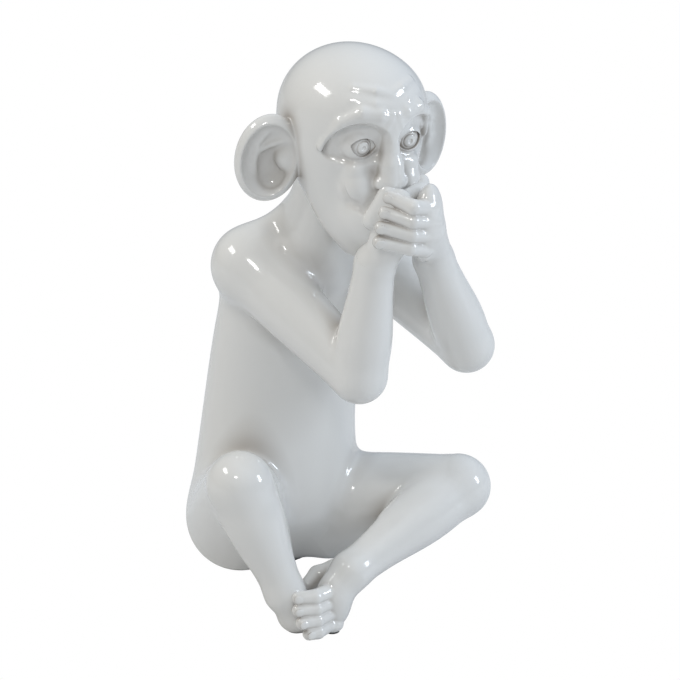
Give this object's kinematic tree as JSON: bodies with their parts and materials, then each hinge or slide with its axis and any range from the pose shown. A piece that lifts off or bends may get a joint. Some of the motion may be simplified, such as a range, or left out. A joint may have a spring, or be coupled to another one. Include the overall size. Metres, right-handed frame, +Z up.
{
  "type": "monkey figurine",
  "caption": "Seated monkey figurine with both hands over its mouth and one foot clasping the other ankle, hollow cast in pieces and lacquered glossy white, on a felt pad.",
  "frame": {"origin": "on the floor under the middle of the seat, on the underside of the seat felt", "axes": "+Z up, the figure faces -Y and its own left side is +X"},
  "size_m": [0.206, 0.2302, 0.3889],
  "materials": {
    "lacquer": "high gloss lacquer over cast resin",
    "plate": "matt moulded resin board",
    "felt": "pressed wool felt",
    "steel": "drawn, dull"
  },
  "bodies": {
    "root": {"torso_shell": "lacquer", "head_shell": "lacquer", "right_ear": "lacquer", "left_ear": "lacquer", "right_arm": "lacquer", "left_arm": "lacquer", "right_hand": "lacquer", "left_hand": "lacquer", "right_leg": "lacquer", "left_leg": "lacquer", "right_foot": "lacquer", "left_foot": "lacquer", "base_plate": "plate", "base_felt": "felt", "foot_felts": "felt", "neck_sleeve": "steel", "shoulder_pins": "steel", "hip_pins": "steel", "wrist_pins": "steel", "ankle_pins": "steel", "ear_pins": "steel"}
  },
  "joints": []
}
